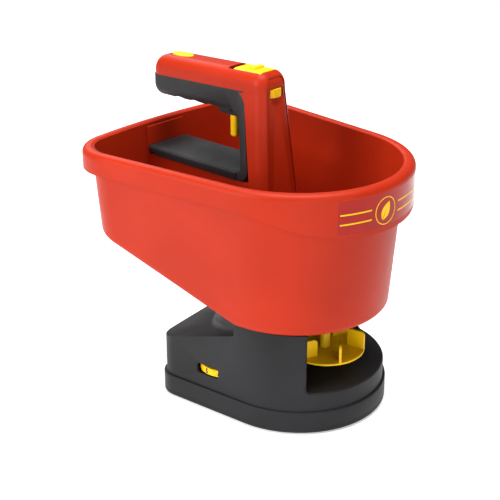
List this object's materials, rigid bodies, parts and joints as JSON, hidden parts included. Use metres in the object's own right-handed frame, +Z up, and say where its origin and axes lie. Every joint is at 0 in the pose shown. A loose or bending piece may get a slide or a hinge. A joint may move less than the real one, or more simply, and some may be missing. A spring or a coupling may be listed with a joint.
{
  "type": "battery garden spreader",
  "caption": "Battery hand spreader: D-shaped hopper with a C-shaped carrying handle, trigger and controls, on a base whose motor spins a vaned spreading disc.",
  "frame": {"origin": "on the ground, under the middle of the hopper's rim", "axes": "+Z up, +X forward to the round end that throws the granules, -Y the side with the rate dial"},
  "size_m": [0.2834, 0.2396, 0.3034],
  "materials": {
    "red_plastic": "satin moulded polypropylene",
    "label_film": "glossy printed film",
    "black_grip": "matt soft-touch overmould",
    "charcoal_plastic": "fine-grained moulded plastic",
    "yellow_plastic": "satin moulded plastic",
    "feet_rubber": "matt",
    "zinc_steel": "bright zinc plate",
    "bearing_bronze": "sintered bronze",
    "natural_nylon": "natural nylon",
    "black_nylon": "satin",
    "motor_can": "drawn steel can",
    "circuit_board": "solder mask",
    "cell_wrap": "plain shrink wrap",
    "wire_insulation": "soft PVC"
  },
  "bodies": {
    "body": {"hopper": "red_plastic", "handle_shell": "red_plastic", "front_panel": "red_plastic", "battery_box": "red_plastic", "front_label": "label_film", "grip_cover": "black_grip", "base_housing": "charcoal_plastic", "base_plate": "charcoal_plastic", "screw_cap": "yellow_plastic", "rubber_feet": "feet_rubber", "base_screws": "zinc_steel", "hopper_screws": "zinc_steel", "column_screws": "zinc_steel", "handle_screw": "zinc_steel", "trigger_pin": "zinc_steel", "crank_pin": "zinc_steel", "lid_hinge_pin": "zinc_steel", "trigger_spring": "zinc_steel", "rod_spring": "zinc_steel", "contact_springs": "zinc_steel", "battery_contacts": "zinc_steel", "idler_axle": "zinc_steel", "lower_bush": "bearing_bronze", "middle_bush": "bearing_bronze", "upper_bush": "bearing_bronze", "dial_spindle": "natural_nylon", "shutter_guide": "black_nylon", "crank_bracket": "black_nylon", "rod_bracket": "black_nylon", "motor_mount": "black_nylon", "slide_switch_body": "black_nylon", "microswitch": "black_nylon", "motor": "motor_can", "speed_board": "circuit_board", "battery_cells": "cell_wrap", "wire_harness": "wire_insulation"},
    "battery_lid_body": {"battery_lid": "black_grip"},
    "trigger_body": {"trigger": "yellow_plastic"},
    "push_rod_body": {"push_rod": "natural_nylon"},
    "bell_crank_body": {"bell_crank": "natural_nylon"},
    "feed_shutter_body": {"feed_shutter": "black_nylon"},
    "slide_switch_part": {"slide_switch": "yellow_plastic"},
    "speed_wheel_body": {"speed_wheel": "yellow_plastic"},
    "rate_dial_body": {"rate_dial": "yellow_plastic"},
    "disc_rotor": {"spreader_disc": "yellow_plastic", "disc_shaft": "zinc_steel", "drive_gear": "natural_nylon", "agitator": "black_nylon"},
    "idler_body": {"idler_gear": "natural_nylon"},
    "motor_rotor": {"motor_shaft": "zinc_steel", "motor_pinion": "natural_nylon"}
  },
  "joints": [
    {"name": "battery_lid_hinge", "type": "hinge", "parent": "body", "child": "battery_lid_body", "pos_m": [0, 0.026, 0.2006], "axis": [-1, 0, 0], "range_deg": [0, 30]},
    {"name": "trigger_pull", "type": "hinge", "parent": "body", "child": "trigger_body", "pos_m": [-0.0318, 0, 0.268], "axis": [0, 1, 0], "range_deg": [0, 8], "stiffness_Nm_per_rad": 2, "springref_deg": -5.73},
    {"name": "push_rod_slide", "type": "slide", "parent": "body", "child": "push_rod_body", "axis": [0, 0, -1], "range_m": [0, 0.0059], "deforming": ["rod_spring"]},
    {"name": "bell_crank_turn", "type": "hinge", "parent": "body", "child": "bell_crank_body", "pos_m": [0.022, 0, 0.066], "axis": [0, -1, 0], "range_deg": [0, 29.1]},
    {"name": "feed_shutter_slide", "type": "slide", "parent": "body", "child": "feed_shutter_body", "axis": [-1, 0, 0], "range_m": [0, 0.0146]},
    {"name": "slide_switch_slide", "type": "slide", "parent": "body", "child": "slide_switch_part", "axis": [-1, 0, 0], "range_m": [0, 0.006]},
    {"name": "speed_wheel_turn", "type": "hinge", "parent": "body", "child": "speed_wheel_body", "pos_m": [0.0034, 0, 0.2833], "axis": [0, 0, 1], "range_deg": [-135, 135]},
    {"name": "rate_dial_turn", "type": "hinge", "parent": "body", "child": "rate_dial_body", "pos_m": [0.0065, -0.0565, 0.04], "axis": [0, 0, 1], "range_deg": [-30, 120]},
    {"name": "disc_spin", "type": "hinge", "parent": "body", "child": "disc_rotor", "pos_m": [0.0748, 0, 0.058], "axis": [0, 0, 1], "continuous": true},
    {"name": "idler_spin", "type": "hinge", "parent": "body", "child": "idler_body", "pos_m": [0.0448, 0, 0.018], "axis": [0, 0, 1], "continuous": true},
    {"name": "motor_spin", "type": "hinge", "parent": "body", "child": "motor_rotor", "pos_m": [0.0188, 0, 0.015], "axis": [0, 0, 1], "continuous": true}
  ],
  "couplings": [
    {"joint": "push_rod_slide", "follows": "trigger_pull", "m_per_rad": 0.041826},
    {"joint": "bell_crank_turn", "follows": "trigger_pull", "ratio": 3.625},
    {"joint": "feed_shutter_slide", "follows": "trigger_pull", "m_per_rad": 0.10385},
    {"joint": "idler_spin", "follows": "disc_spin", "ratio": -3.2857},
    {"joint": "motor_spin", "follows": "disc_spin", "ratio": 10.952}
  ]
}
